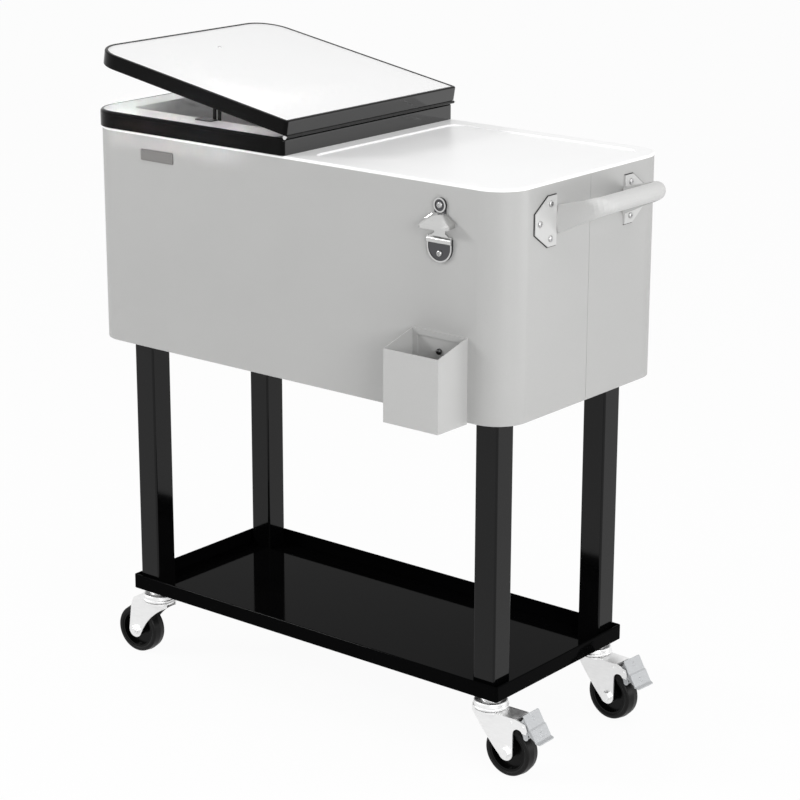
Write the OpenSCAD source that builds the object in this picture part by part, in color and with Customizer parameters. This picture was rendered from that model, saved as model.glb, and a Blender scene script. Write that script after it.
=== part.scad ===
// Wheeled patio cooler: an insulated box with a half lid, on a four-legged cart with a tray and casters.
// Millimetres. X runs along the box, Y from front to back, Z up from the ground.

/* [Box] */
// Length of the insulated box
box_length = 800; // [700:10:900]
// Width of the box, front to back
box_width = 392; // [384:4:440]
// Height of the box, from its underside to the deck
box_height = 335; // [295:5:375]
// Radius of the four upright corners
corner_radius = 50; // [40:1:57]
// Thickness of the insulated walls, shell to cavity
wall_thickness = 48; // [44:1:56]
// Thickness of the insulated floor
floor_thickness = 46; // [36:1:56]
// Sheet thickness of the painted shell
shell_sheet = 1.2; // [0.8:0.1:2]
// Width of the shell's turned-in edge at the bottom
shell_hem = 14; // [8:1:20]
// Thickness of the bottom pan
bottom_sheet = 1.5; // [1:0.1:3]
// Wall of the moulded liner
liner_wall = 2.5; // [2:0.1:4]
// Radius of the cavity's corners
cavity_radius = 10; // [8:1:30]
// Thickness of the deck
deck_thickness = 4; // [3:0.5:6]
// Radius of the deck's outer edge
deck_edge = 2.5; // [1:0.25:3]
// Depth of the serving recess in the deck
recess_depth = 2; // [1:0.25:2.5]
// Border between the deck's edge and its recess
recess_border = 24; // [16:1:40]

/* [Lid frame] */
// Height of the black frame round the opening
frame_height = 25.2; // [18:0.1:30]
// Width of the frame's top at the front, the back and the free end
frame_width = 5.5; // [5:0.5:12]
// Width of the frame's top under the hinge
frame_hinge_width = 18; // [14:1:24]
// How far the frame overhangs the shell
frame_overhang = 2.5; // [1:0.5:5]
// Distance of the hinge axis from the middle of the box, towards the handle
hinge_offset = 5; // [0:1:15]
// Gap between the hinge axis and the frame's hinge side
frame_setback = 4; // [3.8:0.1:6]
// Radius of the frame's upper edge
frame_edge = 4.5; // [1.5:0.5:5]
// How far the light collar lies below the frame's top
collar_drop = 0.4; // [0.2:0.1:2]

/* [Lid] */
// How far the lid's free end stays inside the frame's edge
lid_inset = 5.5; // [2:0.5:8]
// Thickness of the lid
lid_thickness = 22; // [18:1:28]
// Opening angle at which the lid stands at rest
lid_open = 9.8; // [2:0.2:20]
// Widest opening angle of the lid
lid_open_max = 85; // [60:1:86]
// Wall of the lid's skirt
skirt_wall = 3; // [2:0.25:4]
// Width of the lip that holds the lid's top panel
lid_lip = 5; // [4:0.25:7]
// Thickness of that lip
lid_lip_thickness = 1; // [0.8:0.1:1.6]
// Thickness of the lid's top panel
panel_thickness = 1.2; // [0.8:0.1:2]
// Depth of the inner panel below the lid's underside
plug_depth = 8; // [4:1:12]
// Width of the lid's gasket
gasket_width = 7; // [5:0.5:8]
// Distance of the gasket from the lid's edge
gasket_inset = 8; // [6:0.5:10]

/* [Hinge] */
// Outer radius of the hinge knuckles
knuckle_radius = 2.2; // [2.2:0.1:3]
// Radius of the hinge rod
rod_radius = 1.3; // [1:0.1:1.4]
// Running clearance round the rod
rod_clearance = 0.05; // [0.02:0.01:0.08]
// Distance of the hinge's ends from the frame's sides
hinge_inset = 3.5; // [3.5:0.5:20]
// Number of knuckles, frame and lid in turn
knuckle_count = 13; // [7:2:13]
// Width of the hinge leaves, from the axis
leaf_width = 12; // [9:0.5:13]
// Thickness of the hinge leaves
leaf_thickness = 1.2; // [0.8:0.1:1.5]

/* [Lid stay] */
// Distance of the curved stay from the hinge axis
stay_radius = 185; // [150:1:200]
// Width of the stay's curved strip
stay_width = 15; // [12:1:18]
// Thickness of the strip
stay_thickness = 2.5; // [2:0.1:3]
// Width of the slot in the strip
stay_slot = 5; // [4.6:0.1:6]
// Radius of the guide pin in the slot
stay_pin_radius = 2; // [1.5:0.1:2.2]

/* [Handle] */
// Reach of the handle from the end of the box
handle_reach = 82; // [70:1:90]
// Outer diameter of the grip tube
handle_tube_d = 26; // [20:1:30]
// Distance between the inner edges of the two flanges
handle_span = 168; // [140:2:180]
// Height of the handle's flange centre below the deck
handle_drop = 55.6; // [50:0.1:90]
// Upward tilt of the handle
handle_tilt = 21; // [0:1:30]
// Bend radius of the tube's centre line
handle_bend = 24; // [20:1:30]
// Height of a flange plate
flange_height = 71; // [62:1:80]
// Length of a flange plate along the box
flange_length = 50; // [46:1:58]
// Thickness of a flange plate
flange_thickness = 2.5; // [1.5:0.1:3]
// Thickness of the flattened tube ends
flat_end = 7; // [5:0.5:9]

/* [Bottle opener] */
// Distance of the opener and the catcher from the handle end of the box
opener_inset = 112.5; // [108:0.5:200]
// Height of the opener's lower edge below the deck
opener_drop = 112.5; // [100:0.5:150]
// Overall height of the opener
opener_height = 91; // [84:1:100]
// Width of the opener's lower plate
opener_plate = 43; // [38:1:50]
// Width of the opener's hood along the shell
opener_hood = 54; // [50:1:70]
// Reach of the hood from the shell
opener_reach = 28; // [22:1:34]
// Thickness of the cast metal
opener_metal = 3; // [2:0.25:4]

/* [Cap catcher] */
// Width of the catcher
catcher_width = 97; // [80:1:110]
// Depth of the catcher
catcher_depth = 66; // [50:1:80]
// Height of the catcher's back
catcher_back = 125; // [100:1:140]
// Height of the catcher's front
catcher_front = 107; // [90:1:118]
// Height of the catcher's floor above the box's underside
catcher_lift = -2.5; // [-10:0.5:20]
// Sheet thickness of the catcher
catcher_sheet = 1.5; // [1:0.1:2]
// Width of the folded edge at the catcher's back
catcher_fold = 9; // [6:1:14]

/* [Cart] */
// Side of a square leg tube
leg_side = 39; // [30:1:44]
// Wall of a leg tube
leg_wall = 1.8; // [1.2:0.1:3]
// Length of a leg
leg_length = 428.2; // [380:0.1:470]
// Distance of the leg centres from the ends of the box
leg_inset_x = 62; // [60:1:90]
// Distance of the leg centres from the front and back of the box
leg_inset_y = 62.5; // [61:0.5:90]
// Distance of the tray's edge from the ends of the box
tray_inset_x = 32; // [15:1:36]
// Distance of the tray's edge from the front and back of the box
tray_inset_y = 36; // [20:1:37]
// Height of the tray's rim
tray_rim = 24; // [15:0.5:35]
// Sheet thickness of the tray
tray_sheet = 1.5; // [1:0.1:2.5]
// Width of the hem folded inside the tray's rim
tray_hem = 3; // [2.5:0.25:3.5]
// Corner radius of the tray
tray_radius = 4; // [4:0.5:10]
// Depth of the seats in the tray's floor that hold the legs
leg_seat = 0.5; // [0.2:0.1:0.7]

/* [Casters] */
// Diameter of a wheel
wheel_d = 80; // [65:1:82]
// Width of a wheel
wheel_width = 26; // [20:1:28]
// Thickness of the tyre
tyre_thickness = 9; // [6:0.5:11]
// Height from the ground to the underside of the tray
caster_height = 118; // [116:1:128]
// Trail of the wheel behind the swivel axis
caster_trail = 39; // [32:1:42]
// Radius of the axle
axle_radius = 4; // [3:0.5:5]
// Running clearance of wheel, swivel and pedal pins
caster_clearance = 0.06; // [0.03:0.01:0.09]
// Gap between wheel and fork
fork_gap = 2; // [1:0.25:3]
// Sheet thickness of the fork
fork_sheet = 2; // [1.5:0.1:3]
// Radius of the swivel raceway
raceway_radius = 27; // [25:0.5:28]
// Height of the swivel raceway
raceway_height = 13; // [10:0.5:14]
// Swivel angle of the front left caster
swivel_front_left = 184; // [0:1:359]
// Swivel angle of the front right caster
swivel_front_right = 1; // [0:1:359]
// Swivel angle of the rear left caster
swivel_rear_left = 187; // [0:1:359]
// Swivel angle of the rear right caster
swivel_rear_right = 356; // [0:1:359]
// Angle that a brake pedal turns to lock its wheel
brake_travel = 10; // [6:1:12]

/* [Drain] */
// Distance of the drain from the lid's end of the box
drain_inset = 110; // [100:5:200]
// Outer radius of the drain spout
drain_radius = 12; // [8:1:15]
// Bore radius of the drain spout
drain_bore = 8; // [5:0.5:10]
// How far the spout reaches below the box
drain_reach = 20; // [16:1:28]
// Clearance of the drain cap on its spout
drain_clearance = 0.06; // [0.03:0.01:0.09]

/* [Hidden] */
$fn = 64;

// Heights, built up from the ground
tray_floor_z = caster_height + tray_sheet;
leg_z = tray_floor_z - leg_seat;
shell_z = leg_z + leg_length - shell_sheet;
deck_z = shell_z + box_height;
shell_top_z = deck_z - deck_thickness;
cavity_z = shell_z + floor_thickness;
frame_top_z = deck_z + frame_height;
leaf_seat = 0.05;
hinge_rise = knuckle_radius + leaf_seat;
hinge_z = frame_top_z + hinge_rise;

// Half sizes of the box, its cavity and the frame
half_length = box_length / 2;
half_width = box_width / 2;
cavity_half_length = half_length - wall_thickness;
cavity_half_width = half_width - wall_thickness;
frame_left = half_length + frame_overhang;
frame_half_width = half_width + frame_overhang;
frame_radius = corner_radius + frame_overhang;
frame_right = hinge_offset - frame_setback;
frame_corner = 7;
seat_gap = 0.2;
panel_joint = 0.05;
leg_edge = 3;
opener_x = half_length - opener_inset;
drain_x = half_length - drain_inset;
leg_x = half_length - leg_inset_x;
leg_y = half_width - leg_inset_y;
tray_length = box_length - 2 * tray_inset_x;
tray_width = box_width - 2 * tray_inset_y;

// The opening in the deck that the frame and its collar line
opening_left = -(frame_left - frame_width);
opening_right = frame_right - frame_hinge_width;
opening_half_width = frame_half_width - frame_width;
opening_radius = frame_radius - frame_width;
collar_right = opening_right - 26;
collar_radius = cavity_radius;
collar_wall = 3;

// Lid, measured from the hinge axis in its closed pose
lid_base = hinge_rise;
lid_length = frame_left + hinge_offset - lid_inset;
lid_half_width = frame_half_width;
hinge_length = 2 * (frame_half_width - hinge_inset);
knuckle_pitch = hinge_length / knuckle_count;
lid_radius = frame_radius - 2;
lid_corner = 6;
skirt_flange = 24;
skirt_flange_thickness = 2;
plug_inset = 6;
plug_left = -(cavity_half_length - plug_inset) - hinge_offset;
plug_right = collar_right - plug_inset - hinge_offset;
plug_half_width = cavity_half_width - 12;
plug_wall = 2;
gasket_height = 2 * hinge_rise - 0.5;

// Stay: angles below the line from the hinge axis to the lid's free end
stay_y = -(cavity_half_width - 4.1);
pin_angle = 3;
stop_clearance = 1;
slot_first = pin_angle - stop_clearance;
slot_last = pin_angle + lid_open_max + stop_clearance;
stay_last = slot_last + 3;
keeper_plate = 1.2;
keeper_half = 17;
stay_offset = 11;
pin_head_radius = 4.5;
pin_head = 2;

// Handle
handle_z = deck_z - handle_drop;
flat_end_height = 3.14159 * handle_tube_d / 2;
handle_out = (handle_reach - flange_thickness - handle_tube_d / 2) / cos(handle_tilt);
screw_near = 14.5;
screw_far = 39.5;
screw_spread = 24.6;
screw_hole = 0.2;
screw_radius = 2.6;
screw_head_radius = 4.6;
screw_head = 2.6;
screw_length = 8;

// Opener
opener_tab = 10.5;
hood_neck = 70;
hood_lip = 59;
hood_rise = 6;
opener_holes = [opener_height - opener_tab, 12.5];
catcher_hole = 28;

// Casters, heights from the ground
axle_z = wheel_d / 2;
raceway_top_z = caster_height - 8;
raceway_z = raceway_top_z - raceway_height;
fork_play = 0.3;
crown_z = raceway_z - fork_play;
crown_thickness = 3;
fork_inner = wheel_width / 2 + fork_gap;
fork_outer = fork_inner + fork_sheet;
ear_radius = 12.5;
crown_radius = 25;
kingpin_radius = 5;
kingpin_head = 8;
stem_radius = 6;
stem_length = 30;
brake_pin_u = 30;
rivet_u = 9;
brake_pin_drop = 9.5;
brake_pin_radius = 2;
brake_bar_radius = 3;
brake_bar_gap = 3;
brake_bar_angle = 42;
leg_bolt_radius = 4;
drain_seal_height = 2.5;
drain_flange = 1.5;
drain_flange_radius = drain_radius + 8;
drain_sink = drain_flange + 0.3;
pedal_sheet = 1.5;

// The origin is the middle of the ground that the cooler covers
x_far_right = max(half_length + handle_reach, leg_x + caster_trail + wheel_d / 2);
x_far_left = max(frame_left, leg_x + caster_trail + wheel_d / 2);
origin_x = (x_far_right - x_far_left) / 2;
origin_y = (frame_half_width - half_width - catcher_depth) / 2;

function arc_points(cx, cy, r, a0, a1, n) =
    [for (i = [0:n]) [cx + r * cos(a0 + (a1 - a0) * i / n), cy + r * sin(a0 + (a1 - a0) * i / n)]];

function bezier(p, q, r, n) =
    [for (i = [0:n]) let (t = i / n) (1 - t) * (1 - t) * p + 2 * t * (1 - t) * q + t * t * r];

// Everything is drawn from the box's middle and moved so that the origin lies at the ground's middle
module placed() {
    translate([-origin_x, -origin_y, 0]) children();
}

// A profile carried straight along Y, with its x outwards along X
module edge_bar(length) {
    translate([0, length / 2, 0]) rotate([90, 0, 0]) linear_extrude(height = length) children();
}

// A profile carried round a rounded rectangle, with its x outwards from the outline
// Parts a frame round an opening into four sides, at mitres through the opening's corners
module mitred(x0, x1, hw, r, z, h) {
    reach = 2 * wall_thickness;
    y = hw - r;
    translate([0, 0, z]) for (s = [-1, 1]) {
        intersection() {
            children();
            linear_extrude(height = h) polygon([[x0 + r + panel_joint, s * y], [x1 - r - panel_joint, s * y],
                [x1 - r - panel_joint + reach, s * (y + reach)],
                [x0 + r + panel_joint - reach, s * (y + reach)]]);
        }
        edge = s < 0 ? x0 + r : x1 - r;
        intersection() {
            children();
            linear_extrude(height = h) polygon([[edge, -y], [edge + s * reach, -y - reach],
                [edge + s * reach, y + reach], [edge, y]]);
        }
    }
}
module rounded_ring(lx, ly, r) {
    for (turn = [0, 180]) rotate(turn) {
        translate([lx / 2, 0, 0]) edge_bar(ly - 2 * r) children();
        rotate(90) translate([ly / 2, 0, 0]) edge_bar(lx - 2 * r) children();
        translate([lx / 2 - r, ly / 2 - r, 0]) rotate_extrude(angle = 90) translate([r, 0]) children();
        translate([r - lx / 2, ly / 2 - r, 0]) rotate(90) rotate_extrude(angle = 90)
            translate([r, 0]) children();
    }
}

// The edge of a plate, depth inwards and h high, with rounded upper and lower outer edges
module edge_profile(depth, h, top_edge, low_edge) {
    low = low_edge > 0 ? arc_points(-low_edge, low_edge, low_edge, -90, 0, 5) : [[0, 0]];
    top = top_edge > 0 ? arc_points(-top_edge, h - top_edge, top_edge, 0, 90, 5) : [[0, h]];
    polygon(concat([[-depth, 0]], low, top, [[-depth, h]]));
}

// A plate with corner radius rl at its left end and rr at its right end, and rounded edges
module rounded_plate(x0, x1, hw, rl, rr, h, top_edge = 0, low_edge = 0) {
    middle = x1 - rr - x0 - rl;
    translate([x0 + rl, -hw + rl, 0]) cube([middle, 2 * (hw - rl), h]);
    translate([x0, 0, 0]) rotate(180) edge_bar(2 * (hw - rl)) edge_profile(rl, h, top_edge, low_edge);
    translate([x1, 0, 0]) edge_bar(2 * (hw - rr)) edge_profile(rr, h, top_edge, low_edge);
    for (s = [-1, 1]) translate([x0 + rl + middle / 2, s * hw, 0]) rotate(90 * s)
        edge_bar(middle) edge_profile(rl, h, top_edge, low_edge);
    translate([x0 + rl, hw - rl, 0]) rotate(90) rotate_extrude(angle = 90) translate([rl, 0])
        edge_profile(rl, h, top_edge, low_edge);
    translate([x0 + rl, rl - hw, 0]) rotate(180) rotate_extrude(angle = 90) translate([rl, 0])
        edge_profile(rl, h, top_edge, low_edge);
    translate([x1 - rr, hw - rr, 0]) rotate_extrude(angle = 90) translate([rr, 0])
        edge_profile(rr, h, top_edge, low_edge);
    translate([x1 - rr, rr - hw, 0]) rotate(270) rotate_extrude(angle = 90) translate([rr, 0])
        edge_profile(rr, h, top_edge, low_edge);
}

// A flat outline with corner radius rl at its left end and rr at its right end
module rounded_outline(x0, x1, hw, rl, rr) {
    translate([x0 + rl, -hw]) square([x1 - rr - x0 - rl, 2 * hw]);
    translate([x0, rl - hw]) square([rl, 2 * (hw - rl)]);
    translate([x1 - rr, rr - hw]) square([rr, 2 * (hw - rr)]);
    for (s = [-1, 1]) {
        translate([x0 + rl, s * (hw - rl)]) circle(r = rl);
        translate([x1 - rr, s * (hw - rr)]) circle(r = rr);
    }
}

// A straight prism of such an outline
module rounded_block(x0, x1, hw, rl, rr, h) {
    linear_extrude(height = h) rounded_outline(x0, x1, hw, rl, rr);
}

// A pan-head screw that enters along -Z, with its head's seat at z = 0
module pan_screw(length, r = screw_radius, head_r = screw_head_radius, head = screw_head) {
    recess = head * 0.45;
    difference() {
        rotate_extrude() polygon(concat([[0, -length], [r, -length], [r, 0], [head_r, 0]],
            arc_points(head_r - head * 0.8, head * 0.2, head * 0.8, 0, 90, 5), [[0, head]]));
        translate([0, 0, head - recess]) for (a = [0, 90]) rotate(a)
            translate([-head_r * 0.55, -head_r * 0.13, 0]) cube([head_r * 1.1, head_r * 0.26, head]);
    }
}

// Faces along -Y on the front of the box
module on_front(x, z) {
    translate([x, -half_width, z]) rotate([90, 0, 0]) children();
}

// Faces along +X on the handle end of the box
module on_end(y, z) {
    translate([half_length, y, z]) rotate([90, 0, 90]) children();
}

// The lid's own frame, with the hinge axis at its origin
module on_lid() {
    translate([hinge_offset, 0, hinge_z]) rotate([0, lid_open, 0]) children();
}

module outer_shell() {
    seam_width = 1.2;
    seam_depth = shell_sheet / 3;
    height = shell_top_z - shell_z;
    color("gainsboro") placed() translate([0, 0, shell_z]) difference() {
        rounded_ring(box_length, box_width, corner_radius) polygon([[-shell_hem, 0], [0, 0], [0, height],
            [-shell_hem, height], [-shell_hem, height - shell_sheet], [-shell_sheet, height - shell_sheet],
            [-shell_sheet, shell_sheet], [-shell_hem, shell_sheet]]);
        for (s = [-1, 1]) translate([s * half_length, 0, height / 2])
            cube([2 * seam_depth, seam_width, height - 4 * shell_sheet], center = true);
    }
}

module shell_bottom() {
    edge = shell_sheet + 0.3;
    color("silver") placed() translate([0, 0, shell_z + shell_sheet]) difference() {
        rounded_block(-half_length + edge, half_length - edge, half_width - edge, corner_radius - edge,
            corner_radius - edge, bottom_sheet);
        translate([-drain_x, 0, -1]) cylinder(r = drain_radius + seat_gap, h = bottom_sheet + 2);
        for (sx = [-1, 1]) for (sy = [-1, 1]) translate([sx * leg_x, sy * leg_y, -1])
            cylinder(r = leg_bolt_radius + seat_gap, h = bottom_sheet + 2);
    }
}

module foam_insulation() {
    edge = shell_sheet + 0.3;
    low = shell_z + shell_sheet + bottom_sheet;
    top = shell_top_z - shell_sheet;
    hollow = liner_wall + 0.1;
    color("khaki") placed() difference() {
        translate([0, 0, low]) rounded_block(-half_length + edge, half_length - edge, half_width - edge,
            corner_radius - edge, corner_radius - edge, top - low);
        translate([0, 0, cavity_z - liner_wall]) rounded_block(-cavity_half_length - hollow,
            cavity_half_length + hollow, cavity_half_width + hollow, cavity_radius + hollow,
            cavity_radius + hollow, top);
        translate([0, 0, top - liner_wall]) rounded_block(-half_length + shell_hem, half_length - shell_hem,
            half_width - shell_hem, corner_radius - shell_hem, corner_radius - shell_hem, 2 * liner_wall);
        translate([-drain_x, 0, low - 1]) cylinder(r = drain_radius + seat_gap, h = floor_thickness);
        translate([-drain_x, 0, cavity_z - liner_wall - drain_sink - 0.1])
            cylinder(r = drain_flange_radius + seat_gap + hollow, h = drain_sink + 1);
    }
}

module inner_liner() {
    low = cavity_z - liner_wall;
    height = shell_top_z - shell_sheet - low;
    flange = shell_hem + 0.3;
    color("whitesmoke") placed() {
        mitred(-cavity_half_length, cavity_half_length, cavity_half_width, cavity_radius, low, height)
            difference() {
            union() {
                rounded_block(-cavity_half_length - liner_wall, cavity_half_length + liner_wall,
                    cavity_half_width + liner_wall, cavity_radius + liner_wall,
                    cavity_radius + liner_wall, height);
                translate([0, 0, height - liner_wall]) rounded_block(-half_length + flange,
                    half_length - flange, half_width - flange, corner_radius - flange,
                    corner_radius - flange, liner_wall);
            }
            translate([0, 0, -1]) rounded_block(-cavity_half_length, cavity_half_length,
                cavity_half_width, cavity_radius, cavity_radius, height + 2);
        }
        difference() {
            union() {
                translate([0, 0, low]) rounded_block(-cavity_half_length + panel_joint,
                    cavity_half_length - panel_joint, cavity_half_width - panel_joint,
                    cavity_radius - panel_joint, cavity_radius - panel_joint, liner_wall);
                translate([-drain_x, 0, low - drain_sink])
                    cylinder(r = drain_flange_radius + seat_gap + liner_wall, h = liner_wall + drain_sink);
            }
            translate([-drain_x, 0, cavity_z - drain_sink]) cylinder(r = drain_flange_radius + seat_gap,
                h = 2 * drain_sink);
            translate([-drain_x, 0, cavity_z - 3 * liner_wall]) cylinder(r = drain_radius + seat_gap,
                h = 4 * liner_wall);
        }
    }
}
module opening_collar() {
    low = shell_top_z - shell_sheet;
    height = frame_top_z - collar_drop - low;
    groove = 1.4;
    groove_height = 1.8;
    groove_drop = 0.8;
    color("gainsboro") placed() mitred(-cavity_half_length, collar_right, cavity_half_width, collar_radius,
        low, height) difference() {
        union() {
            rounded_block(-cavity_half_length - collar_wall, collar_right + collar_wall,
                cavity_half_width + collar_wall, collar_radius + collar_wall,
                collar_radius + collar_wall, height);
            translate([0, 0, height - collar_wall]) rounded_block(opening_left + seat_gap,
                opening_right - seat_gap, opening_half_width - seat_gap, opening_radius - seat_gap,
                frame_corner, collar_wall);
        }
        translate([0, 0, -1]) rounded_block(-cavity_half_length, collar_right, cavity_half_width,
            collar_radius, collar_radius, height + 2);
        translate([0, 0, height - groove_drop - groove_height]) rounded_block(-cavity_half_length - groove,
            collar_right + groove, cavity_half_width + groove, collar_radius + groove,
            collar_radius + groove, groove_height);
    }
}
module top_deck() {
    recess_radius = corner_radius - recess_border;
    recess_left = recess_border + frame_right;
    recess_right = half_length - recess_border;
    recess_half = half_width - recess_border;
    slope = 4;
    hole_edge = collar_wall + seat_gap;
    hole_left = -cavity_half_length - hole_edge;
    hole_right = collar_right + hole_edge;
    hole_width = 2 * (cavity_half_width + hole_edge);
    color("white") placed() difference() {
        translate([0, 0, shell_top_z]) rounded_plate(-half_length, half_length, half_width,
            corner_radius, corner_radius, deck_thickness, deck_edge);
        translate([hole_left, -hole_width / 2, shell_top_z - 1])
            cube([hole_right - hole_left, hole_width, deck_thickness + 2]);
        for (x = [hole_left, hole_right - panel_joint]) translate([x, -half_width - 1, shell_top_z - 1])
            cube([panel_joint, box_width + 2, deck_thickness + 2]);
        translate([0, 0, deck_z - recess_depth]) {
            rounded_block(recess_left + slope, recess_right - slope, recess_half - slope,
                recess_radius - slope, recess_radius - slope, 2 * recess_depth);
            translate([0, 0, recess_depth / 2]) rounded_block(recess_left + slope / 2,
                recess_right - slope / 2, recess_half - slope / 2, recess_radius - slope / 2,
                recess_radius - slope / 2, 2 * recess_depth);
        }
    }
}

module lid_frame() {
    color("#141414") placed() difference() {
        translate([0, 0, deck_z]) rounded_plate(-frame_left, frame_right, frame_half_width,
            frame_radius, frame_corner, frame_height, frame_edge);
        translate([0, 0, deck_z - 1]) rounded_block(opening_left, opening_right, opening_half_width,
            opening_radius, frame_corner, frame_height + 2);
    }
}

// One hinge leaf with its own knuckles, drawn about the rod's axis; side is -1 below it and 1 above it
module hinge_leaf(first, side) {
    length = hinge_length;
    end_gap = 0.4;
    clear = knuckle_radius + 0.5;
    leaf_low = side < 0 ? -hinge_rise : hinge_rise - leaf_thickness;
    difference() {
        union() {
            translate([-leaf_width, -length / 2, leaf_low])
                cube([leaf_width - clear, length, leaf_thickness]);
            for (i = [first:2:knuckle_count - 1])
                translate([0, -length / 2 + i * knuckle_pitch + end_gap / 2, 0]) {
                    translate([-clear - 1, 0, leaf_low])
                        cube([clear + 1, knuckle_pitch - end_gap, leaf_thickness]);
                    rotate([-90, 0, 0]) cylinder(r = knuckle_radius, h = knuckle_pitch - end_gap);
                }
        }
        rotate([90, 0, 0]) cylinder(r = rod_radius + rod_clearance, h = length + 2, center = true);
    }
}

module frame_hinge_leaf() {
    color("#202020") placed() translate([hinge_offset, 0, hinge_z]) hinge_leaf(0, -1);
}

module lid_hinge_leaf() {
    color("#202020") placed() on_lid() hinge_leaf(1, 1);
}

module hinge_rod() {
    head = 1.2;
    head_radius = 3;
    color("silver") placed() translate([hinge_offset, 0, hinge_z]) {
        rotate([90, 0, 0]) cylinder(r = rod_radius, h = 2 * frame_half_width - 0.6, center = true);
        translate([0, -frame_half_width + 0.5, 0]) rotate([90, 0, 0])
            cylinder(r = rod_radius, h = head);
        translate([0, -frame_half_width - 0.3, 0]) rotate([90, 0, 0])
            cylinder(r = head_radius, h = head);
    }
}

module stay_keeper() {
    pin_x = hinge_offset - stay_radius * cos(pin_angle);
    pin_z = hinge_z - stay_radius * sin(pin_angle);
    wall_y = -cavity_half_width;
    shelf_z = frame_top_z - collar_drop;
    shelf_depth = 18;
    lobe_radius = 6;
    plate_low = 16;
    color("#1b1b1b") placed() {
        translate([pin_x - stay_offset - keeper_half, wall_y, pin_z - plate_low])
            cube([2 * keeper_half, keeper_plate, shelf_z + keeper_plate - pin_z + plate_low]);
        difference() {
            translate([pin_x - stay_offset, wall_y + keeper_plate, shelf_z]) rotate([0, 0, 180])
                linear_extrude(height = keeper_plate)
                rounded_outline(-keeper_half, keeper_half, shelf_depth, lobe_radius, lobe_radius);
            translate([pin_x - stay_offset - 2 * keeper_half, wall_y + keeper_plate, shelf_z - 1])
                cube([4 * keeper_half, 2 * shelf_depth, keeper_plate + 2]);
        }
        translate([pin_x, wall_y + keeper_plate / 2, pin_z]) rotate([-90, 0, 0])
            cylinder(r = stay_pin_radius, h = stay_y - wall_y + stay_thickness);
        translate([pin_x, stay_y + stay_thickness + 0.5, pin_z]) rotate([-90, 0, 0])
            cylinder(r = pin_head_radius, h = pin_head);
    }
}

// Curved strip in the plane of the front wall, drawn about the hinge axis with the lid closed
module lid_stay() {
    mid = stay_radius;
    inner = mid - stay_width / 2;
    outer = mid + stay_width / 2;
    foot_depth = 20;
    foot_half = 21;
    foot_radius = 7;
    foot_thickness = 2.2;
    first = -asin((lid_base - foot_thickness / 2) / mid);
    slot = stay_slot / 2;
    steps = 40;
    far_x = mid * cos(180 - slot_last);
    far_y = mid * sin(180 - slot_last);
    near_x = mid * cos(180 - slot_first);
    near_y = mid * sin(180 - slot_first);
    color("#1b1b1b") placed() on_lid() {
        translate([0, stay_y, 0]) rotate([-90, 0, 0]) linear_extrude(height = stay_thickness)
            difference() {
                polygon(concat(arc_points(0, 0, outer, 180 - first, 180 - stay_last, steps),
                    arc_points(0, 0, inner, 180 - stay_last, 180 - first, steps)));
                polygon(concat(arc_points(0, 0, mid + slot, 180 - slot_first, 180 - slot_last, steps),
                    arc_points(far_x, far_y, slot, 180 - slot_last, -slot_last, 8),
                    arc_points(0, 0, mid - slot, 180 - slot_last, 180 - slot_first, steps),
                    arc_points(near_x, near_y, slot, -slot_first, -slot_first - 180, 8)));
            }
        translate([-mid - stay_offset, stay_y + stay_thickness - foot_depth / 2, lid_base - foot_thickness])
            linear_extrude(height = foot_thickness)
            rounded_outline(-foot_half, foot_half, foot_depth / 2, foot_radius, foot_radius);
    }
}

module lid_skirt() {
    pocket_top = lid_thickness - lid_lip_thickness;
    color("#101010") placed() on_lid() translate([0, 0, lid_base]) difference() {
        rounded_plate(-lid_length, 0, lid_half_width, lid_radius, lid_corner, lid_thickness, 2.4, 1);
        translate([0, 0, skirt_flange_thickness]) rounded_block(-lid_length + skirt_wall, -skirt_wall,
            lid_half_width - skirt_wall, lid_radius - skirt_wall, lid_corner - skirt_wall,
            pocket_top - skirt_flange_thickness);
        translate([0, 0, pocket_top - 1]) rounded_block(-lid_length + lid_lip, -lid_lip,
            lid_half_width - lid_lip, lid_radius - lid_lip, 1, lid_lip_thickness + 2);
        translate([0, 0, -1]) rounded_block(-lid_length + skirt_flange, -skirt_flange,
            lid_half_width - skirt_flange, lid_radius - skirt_flange, lid_corner,
            skirt_flange_thickness + 2);
    }
}

module lid_panel() {
    edge = skirt_wall + 0.1;
    color("white") placed() on_lid()
        translate([0, 0, lid_base + lid_thickness - lid_lip_thickness - panel_thickness])
        rounded_block(-lid_length + edge, -edge, lid_half_width - edge, lid_radius - edge,
            lid_corner - edge, panel_thickness);
}

module lid_foam() {
    edge = skirt_wall + 0.3;
    low = skirt_flange_thickness + plug_wall;
    top = lid_thickness - lid_lip_thickness - panel_thickness;
    color("khaki") placed() on_lid() translate([0, 0, lid_base]) {
        translate([0, 0, low]) rounded_block(-lid_length + edge, -edge, lid_half_width - edge,
            lid_radius - edge, 2, top - low);
        translate([0, 0, plug_wall - plug_depth]) rounded_block(plug_left + plug_wall,
            plug_right - plug_wall, plug_half_width - plug_wall, cavity_radius - plug_wall,
            cavity_radius - plug_wall, low + plug_depth - plug_wall);
    }
}

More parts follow.
